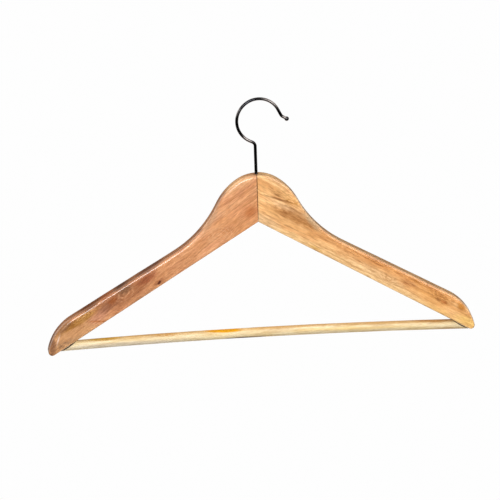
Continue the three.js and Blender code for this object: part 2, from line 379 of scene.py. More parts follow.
def arm(name, side):
    """An uncut arm: side -1 is the left one, 1 the right one."""
    rings = arm_rings(UPPER_EDGE_ROUND[side], END_EDGE_ROUND[side])
    loop = len(rings[0])
    points = []
    for ring in rings:
        points += ring
    faces = []
    for k in range(len(rings) - 1):
        for i in range(loop - 1):
            a = k * loop + i
            faces.append((a, a + 1, a + loop + 1, a + loop))
    mitre_edges = []
    for ring in (rings[0], rings[-1]):
        start = len(points)
        grid = filled_face(ring)
        width = ACROSS + 1
        for row in grid:
            points += row
        for a in range(ALONG):
            for b in range(ACROSS):
                corner = start + a * width + b
                faces.append((corner, corner + 1, corner + width + 1, corner + width))
        mitre_edges.append(list(range(start, start + width)))
    front, back = mitre_edges
    crown = [k * loop for k in range(1, len(rings) - 1)]
    crotch = [k * loop + loop - 1 for k in range(len(rings) - 2, 0, -1)]
    faces.append(front + crown + back[::-1] + crotch)
    return mesh_object(name, [Vector((side * p.x, p.y, p.z)) for p in points], faces)


def tube_faces(rings, sides):
    """The faces of a tube between neighbouring rings, each of that many points."""
    faces = []
    for ring in range(rings - 1):
        for k in range(sides):
            a = ring * sides + k
            b = ring * sides + (k + 1) % sides
            faces.append((a, b, b + sides, a + sides))
    return faces


def sweep(name, stations, sides, bumps=None, sharp=35):
    """A closed tube through stations of (centre, direction, radius), whose line stays in an XZ plane."""
    points = []
    for centre, direction, radius in stations:
        across = Vector((-direction.z, 0, direction.x)).normalized()
        for k in range(sides):
            angle = 2 * math.pi * k / sides
            reach = radius + (bumps(angle) if bumps and radius else 0)
            points.append(centre + reach * (math.cos(angle) * across + math.sin(angle) * Vector((0, 1, 0))))
    return mesh_object(name, points, tube_faces(len(stations), sides), sharp)


def turned(name, base, axis, profile, sides=48):
    """A lathe shape on a line from base along axis 'x', 'y' or 'z', through (distance, radius) pairs."""
    along = {"x": Vector((1, 0, 0)), "y": Vector((0, 1, 0)), "z": Vector((0, 0, 1))}[axis]
    across = along.yzx
    third = along.cross(across)
    points = []
    for distance, radius in profile:
        for k in range(sides):
            angle = 2 * math.pi * k / sides
            reach = radius * (math.cos(angle) * across + math.sin(angle) * third)
            points.append(base + distance * along + reach)
    return mesh_object(name, points, tube_faces(len(profile), sides))


def carve(obj, cutter):
    """Cuts the cutter out of the object and removes the cutter."""
    modifier = obj.modifiers.new("cut", "BOOLEAN")
    modifier.operation = "DIFFERENCE"
    modifier.solver = "EXACT"
    modifier.object = cutter
    depsgraph = bpy.context.evaluated_depsgraph_get()
    cut = bpy.data.meshes.new_from_object(obj.evaluated_get(depsgraph))
    obj.modifiers.clear()
    old = obj.data
    obj.data = cut
    bpy.data.meshes.remove(old)
    bpy.data.objects.remove(cutter)
    tidy(obj)


# ---------------------------------------------------------------- pieces

def bar_height(x):
    """Height of the bar's centreline at x."""
    rise = BAR_BOW * (1 - (x / BAR_BOW_HALF_SPAN) ** 2)
    return CROTCH_Z + BAR_Z + math.tan(math.radians(BAR_TILT)) * x + rise


def bar_station(x, radius):
    """A station of a sweep along the bar: its centre and direction at x, and the radius asked for."""
    ahead = bar_height(x + MM) - bar_height(x - MM)
    return Vector((x, 0, bar_height(x))), Vector((2 * MM, 0, ahead)).normalized(), radius


def bar_socket():
    """What the two arms lose to the bar: its own line, a little wider and longer."""
    reach = BAR_HALF_LENGTH + FIT_GAP
    wide = BAR_RADIUS + SOCKET_GAP
    stations = [bar_station(-reach, 0)]
    for step in range(SOCKET_STEPS + 1):
        stations.append(bar_station(reach * (2 * step / SOCKET_STEPS - 1), wide))
    stations.append(bar_station(reach, 0))
    return sweep("bar_socket", stations, BAR_SIDES)


def trouser_bar():
    """The bar: turned a hair out of true, with eased ends."""
    inner = BAR_HALF_LENGTH - BAR_END_EASE
    end_radii = [BAR_RADIUS - BAR_END_EASE, 0.5 * BAR_RADIUS, 0]
    stations = [bar_station(-BAR_HALF_LENGTH, radius) for radius in end_radii[::-1]]
    for step in range(BAR_STEPS + 1):
        x = inner * (2 * step / BAR_STEPS - 1)
        stations.append(bar_station(x, BAR_RADIUS - BAR_THINNED + uneven(x, TURNING_WAVES)))
    stations += [bar_station(BAR_HALF_LENGTH, radius) for radius in end_radii]
    return sweep("bar", stations, BAR_SIDES, sharp=30)


def stem_bore():
    """The bore down the mitre with a softened rim, and the pocket under it, as one cutter."""
    below = -20 * MM
    above = HUB_HEIGHT + 10 * MM
    rim_radius = BORE_RADIUS + BORE_RIM_FLARE
    profile = [
        (below, 0),
        (below, POCKET_RADIUS),
        (POCKET_TOP, POCKET_RADIUS),
        (POCKET_TOP, BORE_RADIUS),
        (HUB_HEIGHT - BORE_RIM_DEPTH, BORE_RADIUS),
        (HUB_HEIGHT, rim_radius),
        (above, rim_radius),
        (above, 0),
    ]
    return turned("stem_bore", Vector((0, 0, CROTCH_Z)), "z", profile)


def dowel_hole(node):
    """The hole across the mitre that a dowel sits in."""
    low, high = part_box(node)
    reach = high.x + FIT_GAP
    radius = (high.z - low.z) / 2 + FIT_GAP
    middle = (low + high) / 2
    profile = [(-reach, 0), (-reach, radius), (reach, radius), (reach, 0)]
    return turned("dowel_hole", middle, "x", profile, HOLE_SIDES)


def brad_hole(side):
    """The stepped hole in an arm's back that a brad sits in."""
    x = side * BRAD_X
    shank = BRAD_RADIUS + FIT_GAP / 2
    head = BRAD_HEAD_RADIUS + FIT_GAP / 2
    seat = HALF_THICKNESS - BRAD_HEAD_THICKNESS - FIT_GAP / 2
    tip = BRAD_TIP_Y - FIT_GAP
    outside = 2 * HALF_THICKNESS
    profile = [(tip, 0), (tip, shank), (seat, shank), (seat, head), (outside, head), (outside, 0)]
    return turned("brad_hole", Vector((x, 0, bar_height(x))), "y", profile, HOLE_SIDES)


def brad(name, side):
    """A brad with a slightly domed head and a point."""
    x = side * BRAD_X
    back = HALF_THICKNESS
    seat = back - BRAD_HEAD_THICKNESS
    ease = 0.15 * MM
    profile = [
        (BRAD_TIP_Y, 0),
        (BRAD_TIP_Y + 2 * BRAD_RADIUS, BRAD_RADIUS),
        (seat, BRAD_RADIUS),
        (seat, BRAD_HEAD_RADIUS - ease),
        (seat + ease, BRAD_HEAD_RADIUS),
        (back - 2 * ease, BRAD_HEAD_RADIUS),
        (back - ease, BRAD_HEAD_RADIUS - ease),
        (back - ease / 3, 0.6 * BRAD_HEAD_RADIUS),
        (back, 0),
    ]
    return turned(name, Vector((x, 0, bar_height(x))), "y", profile, BRAD_SIDES)


def dowel(name, node):
    """A fluted dowel with chamfered ends."""
    low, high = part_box(node)
    radius = (high.z - low.z) / 2
    middle = (low + high) / 2
    ends = [(high.x, 0), (high.x, 0.6 * radius), (high.x - DOWEL_CHAMFER, radius)]
    shape = [(-x, r) for x, r in ends] + ends[::-1]
    stations = [(Vector((x, middle.y, middle.z)), Vector((1, 0, 0)), r) for x, r in shape]

    def flutes(angle):
        return -DOWEL_FLUTE_DEPTH * (0.5 - 0.5 * math.cos(DOWEL_FLUTES * angle))

    return sweep(name, stations, 8 * DOWEL_FLUTES, bumps=flutes)


def hook_route():
    """The wire's line from the foot of the rivet head to the middle of the ball."""
    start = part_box("hook")[0].z
    route = Route((0, start), 90).run(CROTCH_Z + STEM_TOP - start)
    for bend in (STEM_BEND, RING_LOWER, RING_UPPER):
        route.arc(*bend)
    return route.run(NOSE_RUN).arc(*NOSE_BEND).run(NOSE_TAIL)


def hook():
    """The hook: rivet head, stem, ring, nose and ball in one skin."""
    route = hook_route()

    # The shape is pairs of (distance along the wire, radius), and starts with the rivet head.
    shape = [(HEAD_HEIGHT * height, HEAD_RADIUS * radius) for height, radius in HEAD_DOME + HEAD_RIM]
    shape.append((HEAD_HEIGHT, 1.15 * WIRE_RADIUS))

    wire_start = 1.06 * HEAD_HEIGHT
    wire_end = route.length - 1.25 * BALL_RADIUS
    count = round((wire_end - wire_start) / WIRE_STEP)
    for step in range(count + 1):
        shape.append((wire_start + (wire_end - wire_start) * step / count, WIRE_RADIUS))

    # The ball flares out of the wire, then closes over its far end.
    flare_angle = math.radians(BALL_NECK_ANGLE + 12)
    flare_radius = (BALL_RADIUS * math.sin(math.radians(BALL_NECK_ANGLE)) + WIRE_RADIUS) / 2
    shape.append((route.length + BALL_RADIUS * math.cos(flare_angle), flare_radius))
    for step in range(BALL_STEPS + 1):
        angle = math.radians(BALL_NECK_ANGLE * (1 - step / BALL_STEPS))
        shape.append((route.length + BALL_RADIUS * math.cos(angle), BALL_RADIUS * math.sin(angle)))

    stations = []
    for distance, radius in shape:
        point, heading = route.at(distance)
        direction = Vector((math.cos(heading), 0, math.sin(heading)))
        stations.append((Vector((point.x, 0, point.y)), direction, radius))
    return sweep("hook_wire", stations, WIRE_SIDES)


def washer():
    """The flat washer on the rivet head, with eased edges."""
    low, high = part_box("hook_washer")
    thickness = high.z - low.z
    outer = (high.x - low.x) / 2
    inner = WIRE_RADIUS + FIT_GAP
    ease = 0.12 * MM
    profile = [
        (0, inner),
        (0, outer - 2 * ease),
        (ease, outer - ease / 2),
        (thickness - 2 * ease, outer),
        (thickness - ease / 2, outer - ease),
        (thickness, outer - 3 * ease),
        (thickness, inner + ease),
        (thickness - ease, inner),
        (0, inner),
    ]
    return turned("washer", Vector((0, 0, low.z)), "z", profile)


# ---------------------------------------------------------------- materials

def srgb(code):
    """A colour like '#c08a60' as the linear values that a node takes."""
    shares = [int(code[i:i + 2], 16) / 255 for i in (1, 3, 5)]
    linear = [c / 12.92 if c <= 0.04045 else ((c + 0.055) / 1.055) ** 2.4 for c in shares]
    return (*linear, 1.0)


class Graph:
    """The nodes of a material or a world, made one after another."""

    def __init__(self, owner):
        owner.use_nodes = True
        self.owner = owner
        self.tree = owner.node_tree
        self.tree.nodes.clear()

    def node(self, kind, inputs, **settings):
        """A new node. Its inputs are values, or outputs of other nodes."""
        made = self.tree.nodes.new("ShaderNode" + kind)
        for key, value in settings.items():
            setattr(made, key, value)
        for key, value in inputs.items():
            if isinstance(value, bpy.types.NodeSocket):
                self.tree.links.new(value, made.inputs[key])
            else:
                made.inputs[key].default_value = value
        return made

    def coordinate(self, kind):
        return self.node("TexCoord", {}).outputs[kind]

    def calc(self, operation, a, b=0.0):
        return self.node("Math", {0: a, 1: b}, operation=operation).outputs[0]

    def vector(self, operation, a, b):
        return self.node("VectorMath", {0: a, 1: b}, operation=operation).outputs[0]

    def dot(self, a, b):
        return self.node("VectorMath", {0: a, 1: b}, operation="DOT_PRODUCT").outputs["Value"]

    def length(self, vector):
        return self.node("VectorMath", {0: vector}, operation="LENGTH").outputs["Value"]

    def weighted(self, *pairs):
        """The sum of values, each times its weight."""
        total = 0.0
        for value, weight in pairs:
            total = self.calc("ADD", total, self.calc("MULTIPLY", value, weight))
        return total

    def mix(self, factor, a, b, blend="MIX"):
        made = self.node("Mix", {0: factor, 6: a, 7: b}, data_type="RGBA", blend_type=blend)
        return made.outputs[2]

    def shaded(self, colour, shade):
        """The colour made paler by a positive shade, and darker and redder by a negative one."""
        value = self.calc("ADD", 1.0, shade)
        green = self.calc("POWER", value, 1.35)
        blue = self.calc("POWER", value, 1.7)
        filter_colour = self.node("CombineColor", {0: value, 1: green, 2: blue}).outputs[0]
        return self.mix(1.0, colour, filter_colour, "MULTIPLY")

    def fade(self, value, low, high, to_low=0.0, to_high=1.0):
        """to_low below low, to_high above high, and a smooth step between."""
        inputs = {"Value": value, "From Min": low, "From Max": high, "To Min": to_low, "To Max": to_high}
        return self.node("MapRange", inputs, interpolation_type="SMOOTHSTEP").outputs[0]

    def cells(self, place, along, across, detail=2.0, seed=0.0):
        """Noise about 0.5, whose blobs are about that long along the grain and that wide across it."""
        scaled = self.vector("MULTIPLY", place, (1 / along, 1 / across, 1 / across))
        moved = self.vector("ADD", scaled, (seed, 1.7 * seed, 0.6 * seed))
        inputs = {"Vector": moved, "Scale": 1.0, "Detail": detail, "Roughness": 0.55}
        return self.node("TexNoise", inputs).outputs[0]

    def distance(self, place, spot, ragged):
        """How far a place is from a mark's middle: 0 there and 1 on its rim, with the rim made ragged."""
        inputs = {
            "Vector": place,
            "Location": spot.middle,
            "Rotation": (0, math.radians(spot.turn), 0),
            "Scale": spot.size,
        }
        local = self.node("Mapping", inputs, vector_type="TEXTURE").outputs[0]
        return self.calc("ADD", self.length(local), self.calc("MULTIPLY", ragged, spot.ragged))

    def spot(self, place, spot, ragged):
        """A soft-edged ellipse about a place in the wood: 1 in its middle, 0 outside."""
        return self.fade(self.distance(place, spot, ragged), spot.core, 1.0, 1.0, 0.0)

    def whorl(self, place, spot, ragged):
        """Rings about a place in the wood, fading towards the mark's rim."""
        distance = self.distance(place, spot, ragged)
        wave = self.calc("SINE", self.calc("MULTIPLY", distance, 2 * math.pi * spot.rings))
        return self.calc("MULTIPLY", self.fade(wave, -0.3, 0.9), self.fade(distance, 0.5, 1.0, 1.0, 0.0))

    def marked(self, colour, place, spot, ragged, speckles):
        """The colour with a mark's own laid over it."""
        mask = self.whorl(place, spot, ragged) if spot.rings else self.spot(place, spot, ragged)
        if spot.speckled:
            mask = self.calc("MULTIPLY", mask, speckles)
        return self.mix(self.calc("MULTIPLY", mask, spot.strength), colour, srgb(spot.colour))

    def finish(self, **inputs):
        """A Principled surface with these inputs; spaces in their names are written as underscores."""
        named = {key.replace("_", " "): value for key, value in inputs.items()}
        shader = self.node("BsdfPrincipled", named)
        self.node("OutputMaterial", {"Surface": shader.outputs[0]})
        return self.owner


def material_graph(name):
    return Graph(bpy.data.materials.new(name))


class Spot:
    """A mark laid on the wood's colour, placed in millimetres along the grain, up from the lower edge and in
    from the face.

    The wood's colour turns to the mark's own: all over it, in speckles, or in rings round its middle. long,
    wide and deep are its reach from there. It is full strength inside the core, a share of that reach, and
    ragged is how uneven its rim is. turn is in degrees, and a positive one falls along the grain."""

    def __init__(self, along, up, long, wide, colour=None, strength=1.0, *, inward=0, deep=9, turn=0,
                 core=0.2, ragged=0.6, speckled=False, rings=0):
        self.middle = (along * MM, inward * MM - HALF_THICKNESS, up * MM)
        self.size = (long * MM, deep * MM, wide * MM)
        self.colour = colour
        self.strength = strength
        self.turn = turn
        self.core = core
        self.ragged = ragged
        self.speckled = speckled
        self.rings = rings


def edge_spot(along, up, long, wide, colour, strength, **shape):
    """A mark on an arm's upper edge, which runs from the front face to the back one."""
    return Spot(along, up, long, wide, colour, strength, inward=6, deep=12, **shape)


def swell(height, along, up, long, wide, turn=0, ragged=0.15):
    """A place where the growth rings bulge by that height."""
    return Spot(along, up, long, wide, turn=turn, core=0, ragged=ragged), height * MM


def arm_place(g, side):
    """Where a point lies in an arm: X along it from the mitre, Y into it, Z up from its lower edge."""
    inputs = {
        "Vector": g.coordinate("Object"),
        "Location": (0, 0, CROTCH_Z),
        "Rotation": (0, side * math.radians(UNDERSIDE_SLOPE), 0),
        "Scale": (side, 1, 1),
    }
    return g.node("Mapping", inputs, vector_type="TEXTURE").outputs[0]


def bar_place(g):
    """Where a point lies in the bar: X along it from its middle, Y and Z across it."""
    inputs = {"Vector": g.coordinate("Object"), "Location": (0, 0, bar_height(0))}
    return g.node("Mapping", inputs, vector_type="TEXTURE").outputs[0]


def wood(g, place, look):
    """Wood under a clear coat, whose grain runs along X of a place."""
    inputs = {"Vector": place, "Rotation": (0, math.radians(look["grain_turn"]), 0)}
    grain = g.node("Mapping", inputs, vector_type="POINT").outputs[0]
    ragged = g.calc("SUBTRACT", g.cells(grain, 7 * MM, 2.4 * MM, detail=5, seed=look["seed"]), 0.5)
    streaks, flecks, fibres, pores = figure(g, grain, look)

    shade = g.weighted(
        (streaks, look["streak"]),
        (flecks, look["fleck"]),
        (fibres, look["fibre"]),
        (late_wood(g, place, grain, ragged, look), -look["ring_strength"]),
        (pores, -PORE_SHADE),
        (end_grain(g, look), -look["end_grain"]),
    )
    colour = g.shaded(wood_colour(g, place, grain, ragged, look), shade)
    if look["glue_line"]:
        colour = g.mix(glue_line(g), colour, srgb(look["glue_line"]))

    # The relief under the coat follows the streaks and the fibres, and dips at the pores.
    relief = g.weighted((streaks, 0.5), (fibres, 0.3), (pores, -0.8))
    bump = g.node("Bump", {"Strength": 0.5, "Distance": RELIEF, "Height": relief})
    roughness = g.calc("ADD", look["roughness"], g.calc("MULTIPLY", g.calc("ADD", pores, ragged), 0.12))
    return g.finish(
        Base_Color=colour,
        Roughness=roughness,
        IOR=LACQUER_IOR,
        Normal=bump.outputs[0],
        Specular_IOR_Level=look["specular"],
        Coat_Weight=look["coat"],
        Coat_Roughness=look["coat_roughness"],
        Coat_IOR=LACQUER_IOR,
    )


def wood_colour(g, place, grain, ragged, look):
    """Slow drifts of colour, then the marks, then painted shade over the sides and rounded edges, with marks
    of their own laid over it.
    """
    seed = look["seed"]
    drift = g.fade(g.cells(grain, 40 * MM, 6 * MM, detail=3, seed=seed + 7), 0.38, 0.62)
    colour = g.mix(drift, srgb(look["light"]), srgb(look["deep"]))
    cloud = g.fade(g.cells(grain, 16 * MM, 5 * MM, detail=3, seed=seed + 9), 0.45, 0.68)
    colour = g.mix(g.calc("MULTIPLY", cloud, look["tint_strength"]), colour, srgb(look["tint"]))
    speckles = g.fade(g.cells(grain, 4.5 * MM, 0.9 * MM, detail=3, seed=seed + 21), 0.4, 0.6, 0.1, 1.0)
    for spot in look["spots"]:
        colour = g.marked(colour, place, spot, ragged, speckles)
    # Painted shade: the sides and the outer parts of the rounded edges turn towards the edge colour.
    if look["edge"]:
        edge_shading = g.calc("MULTIPLY", edge_shade_mask(g), look["edge_strength"])
        colour = g.mix(edge_shading, colour, srgb(look["edge"]))
        for spot in look["edge_spots"]:
            colour = g.marked(colour, place, spot, ragged, speckles)
    return colour


def late_wood(g, place, grain, ragged, look):
    """The dark part of each growth ring. The rings are distances from a pith, bent by noise and swells."""
    seed = look["seed"]
    pith = g.vector("SUBTRACT", grain, (0, *look["pith"]))
    from_pith = g.length(g.vector("MULTIPLY", pith, (RING_TAPER, 1, 1)))
    slow = g.calc("SUBTRACT", g.cells(grain, 60 * MM, 11 * MM, detail=3, seed=seed + 3), 0.5)
    swells = [(g.spot(place, spot, ragged), height) for spot, height in look["swells"]]
    rings = g.weighted((from_pith, 1.0), (slow, look["wander"]), (ragged, look["fray"]), *swells)
    phase = g.calc("FRACT", g.calc("DIVIDE", rings, look["ring"]))
    late = g.calc("MULTIPLY", g.fade(phase, 0.2, 0.84), g.fade(phase, 0.86, 1.0, 1.0, 0.0))
    patchy = g.fade(g.cells(grain, 30 * MM, 6 * MM, seed=seed + 5), 0.4, 0.65)
    return g.calc("MULTIPLY", late, patchy)


def figure(g, grain, look):
    """Streaks, flecks and fibres between -1 and 1, and open pores between 0 and 1."""
    seed = look["seed"]
    streaks = g.fade(g.cells(grain, 26 * MM, 2.2 * MM, detail=4, seed=seed + 12), 0.32, 0.68, -1.0, 1.0)
    flecks = g.fade(g.cells(grain, 6 * MM, 1.3 * MM, detail=3, seed=seed + 17), 0.32, 0.68, -1.0, 1.0)
    fibres = g.fade(g.cells(grain, 9 * MM, 0.6 * MM, detail=4, seed=seed + 11), 0.3, 0.7, -1.0, 1.0)
    pores = g.fade(g.cells(grain, 3.4 * MM, 0.3 * MM, detail=1, seed=seed + 13), 0.62, 0.72)
    return streaks, flecks, fibres, pores


def end_grain(g, look):
    """1 where the surface cuts across the fibres, 0 where it follows them."""
    across = g.dot(g.coordinate("Normal"), look["fibres"])
    return g.fade(g.calc("ABSOLUTE", across), 0.15, 0.75)


def edge_shade_mask(g):
    """Where shade is painted: 1 on a board's sides and the outer part of its rounded edges, 0 on its faces.
    """
    facing = g.node("SeparateXYZ", {0: g.coordinate("Normal")}).outputs["Y"]
    return g.fade(g.calc("ABSOLUTE", facing), 0.5, 0.88, 1.0, 0.0)


def glue_line(g):
    """The dark line of glue down the mitre: 1 on it, 0 beside it, broken, and faint near the crotch."""
    place = g.coordinate("Object")
    split = g.node("SeparateXYZ", {0: place})
    beside = g.calc("ABSOLUTE", split.outputs["X"])
    line = g.fade(beside, GLUE_HALF_WIDTH, 2.2 * GLUE_HALF_WIDTH, 1.0, 0.0)
    squeezed = g.fade(g.cells(place, 4 * MM, 4 * MM), 0.35, 0.6, 0.5, 1.0)
    height = g.calc("SUBTRACT", split.outputs["Z"], CROTCH_Z)
    faint = g.fade(height, 2 * MM, 22 * MM, 0.25, 0.9)
    return g.calc("MULTIPLY", g.calc("MULTIPLY", line, squeezed), faint)


def arm_fibres(side):
    """The way an arm's fibres run, along its lower edge."""
    slope = math.radians(UNDERSIDE_SLOPE)
    return side * math.cos(slope), 0, -math.sin(slope)


# What all the wood has in common: its clear coat, how dark its open pores are, how deep its relief is, and
# how much a step along the grain counts in the growth rings beside one across it.
LACQUER_IOR = 1.5
PORE_SHADE = 0.12
RELIEF = 0.04 * MM
RING_TAPER = 0.02

# A wood's look. light, deep and tint are its colours. streak, fleck, fibre, ring_strength and end_grain are
# how much each of those shades it. pith, ring, wander, fray and swells shape its growth rings. edge is the
# colour of the shade painted over its sides and rounded edges, and glue_line that of the glue in the mitre.
# This much the two arms share.
ARM_WOOD = {
    "end_grain": 0.2,
    "tint_strength": 0.5,
    "fleck": 0.108,
    "glue_line": "#6b4226",
    "roughness": 0.42,
    "specular": 0.4,
    "coat": 1.0,
    "coat_roughness": 0.17,
}

LEFT_WOOD = {
    **ARM_WOOD,
    "fibres": arm_fibres(SIDES["left"]),
    "seed": 2.0,
    "grain_turn": -5,
    "pith": (30 * MM, -60 * MM),
    "ring": 2.6 * MM,
    "wander": 12 * MM,
    "fray": 2.0 * MM,
    "swells": [
        swell(12, 158, 17, 17, 10),
        swell(6, 38, 12, 20, 12, turn=-35, ragged=0.1),
        swell(8, 207, 20, 12, 7),
    ],
    "ring_strength": 0.2,
    "light": "#e2a97c",
    "deep": "#d39565",
    "tint": "#dc9c78",
    "streak": 0.115,
    "fibre": 0.08,
    # The shade painted over the sides and rounded edges.
    "edge": "#6e452c",
    "edge_strength": 0.7,
    "spots": [
        Spot(14, 16, 44, 30, "#dc9c66", 0.45, core=0.3),
        Spot(95, 10, 46, 16, "#d4996c", 0.55, core=0.3),
        Spot(152, 14, 40, 17, "#a0663f", 0.85, core=0.35, turn=4),
        Spot(178, 15, 26, 9, "#9c674a", 0.75, core=0.3),
        Spot(228, 6, 42, 20, "#cb9a6b", 0.85, core=0.5),
        Spot(192, 9, 18, 9, "#c98f72", 0.8),
        Spot(1, 14, 12, 9, "#b96f3c", 0.85),
        Spot(14, 7, 24, 4.5, "#cc8b58", 0.45),
        Spot(135, 1.5, 34, 4.5, "#bd8862", 0.5, core=0.4),
        Spot(225, 3, 14, 3, "#a9825c", 0.55),
        Spot(18, 30, 30, 7, "#e6b48c", 0.5, speckled=True),
        Spot(38, 30, 18, 6, "#c99a7c", 0.6),
        Spot(40, 12, 22, 12, "#e8b68e", 0.45, turn=-25, rings=4, ragged=0.5),
        Spot(128, 15, 18, 7, "#9c5634", 0.8),
        Spot(120, 5, 10, 4, "#94552f", 0.6),
        Spot(157, 15, 15, 9, "#e2aa80", 0.5, rings=3, ragged=0.7),
        Spot(154, 18, 13, 6, "#775236", 0.85, ragged=0.8),
        Spot(171, 15, 10, 5, "#98521c", 0.8, turn=20, ragged=0.9),
        Spot(180, 12, 12, 6, "#8f5c40", 0.6),
        Spot(211, 17, 32, 5.5, "#aa7630", 0.95, core=0.35, ragged=0.8),
        Spot(206, 18.5, 17, 5, "#e8bb7c", 0.5, rings=3, ragged=1.0),
        Spot(228, 19.5, 18, 6, "#7d501a", 0.9, turn=12),
        # A pale streak along the inner side of the end's rounded edge: a painted highlight.
        Spot(241, 11.5, 9, 1.1, "#f6dccb", 0.75, turn=40, ragged=0.2),
        Spot(250, 7, 13, 4, "#94694a", 0.75, turn=52, core=0.4),
        Spot(238, 3.5, 16, 3, "#8f6a4c", 0.7, speckled=True),
        Spot(120, 4.2, 3.5, 1.9, "#5c2812", 1.0, turn=20, core=0.4, ragged=0.3),
        Spot(195, 5, 16, 1.6, "#b0682c", 0.7, turn=-33),
        Spot(240, 6, 14, 5, "#8d6d50", 0.8, speckled=True),
    ],
    # Marks laid over the painted edge shade, which lighten or deepen it in places.
    "edge_spots": [
        edge_spot(-4, 49, 36, 11, "#dcb284", 0.9),
        edge_spot(38, 31.5, 26, 6, "#c0926c", 0.9, turn=31, core=0.5),
        edge_spot(120, 22, 22, 3.8, "#643a24", 0.85, core=0.4),
        edge_spot(155, 23, 14, 3, "#4a2815", 0.9),
        edge_spot(175, 22.5, 13, 3.6, "#8f4e20", 0.85, core=0.4),
        edge_spot(194, 22.4, 18, 4.2, "#6e3b0c", 0.95, core=0.45),
        edge_spot(228, 19, 12, 5, "#b98a62", 0.6, turn=20),
        edge_spot(249, 10, 19, 4, "#74492b", 0.65, turn=50, core=0.4),
        edge_spot(258, 1.5, 6, 4, "#4a2c18", 0.8, core=0.3),
    ],
}

RIGHT_WOOD = {
    **ARM_WOOD,
    "fibres": arm_fibres(SIDES["right"]),
    "seed": 9.0,
    "grain_turn": 0,
    "pith": (34 * MM, -75 * MM),
    "ring": 3.1 * MM,
    "wander": 10 * MM,
    "fray": 1.6 * MM,
    "swells": [
        swell(6, 150, 9, 14, 7),
        swell(8, 209, 16, 15, 8),
    ],
    "ring_strength": 0.23,
    "light": "#f6c68b",
    "deep": "#e4ab6e",
    "tint": "#ecb176",
    "streak": 0.11,
    "fibre": 0.07,
    # The shade painted over the sides and rounded edges.
    "edge": "#a48a67",
    "edge_strength": 0.75,
    "spots": [
        Spot(150, 22, 130, 9, "#dd9c5c", 0.85, core=0.4),
        Spot(110, 1, 175, 9, "#f6cf97", 0.95, core=0.5),
        Spot(202, 12, 36, 11, "#dd9c4c", 0.45, core=0.3),
        Spot(135, 8, 48, 7, "#f0c996", 0.75, core=0.3),
        Spot(110, 15.5, 60, 4.5, "#dc9c5e", 0.6),
        Spot(6, 5, 26, 8, "#f3cfa0", 0.75),
        Spot(214, 3, 32, 5, "#e6b268", 0.65),
        Spot(30, 27, 45, 5, "#f8d3a6", 0.85),
        Spot(6, 39, 16, 8, "#b98a50", 0.7, speckled=True),
        Spot(21, 36, 13, 6, "#c98a34", 0.85, speckled=True),
        Spot(6, 31.5, 22, 1.8, "#8a5a2b", 0.8, turn=-10, ragged=0.9),
        Spot(26, 29.5, 16, 1.4, "#a87238", 0.5, turn=6, ragged=0.9),
        Spot(22, 16.5, 36, 7, "#cf995e", 0.65),
        Spot(35, 23.5, 34, 8.5, "#bd854b", 0.82, core=0.3),
        Spot(28, 22.5, 38, 5, "#a86f3c", 0.8, ragged=0.9, speckled=True),
        Spot(50, 20, 14, 4, "#a3682a", 0.8, ragged=0.7, speckled=True),
        Spot(3, 34.5, 6, 2, "#94602f", 0.8),
        Spot(66, 3, 12, 1.5, "#cfa04a", 0.8),
        Spot(150, 9, 9, 5, "#c98c50", 0.5, rings=3, ragged=0.7),
        Spot(178, 20, 11, 4, "#bb7a2c", 0.9, speckled=True),
        Spot(172, 14, 14, 5, "#b87645", 0.8, speckled=True),
        Spot(210, 16, 20, 8, "#b07234", 0.95, ragged=0.8, speckled=True),
        Spot(215, 13.5, 5, 2.4, "#b35c28", 0.5),
        Spot(208, 13, 4, 2, "#8f5a2e", 0.6),
        Spot(234, 17, 9, 6, "#bd7a22", 0.85),
        Spot(248, 6, 22, 9, "#f0c878", 0.8),
    ],
    # Marks laid over the painted edge shade, which lighten or deepen it in places.
    "edge_spots": [
        edge_spot(-4, 49, 36, 11, "#dfba8a", 0.9),
        edge_spot(48, 27, 26, 6, "#bda07a", 0.85, turn=25, core=0.4),
    ],
}

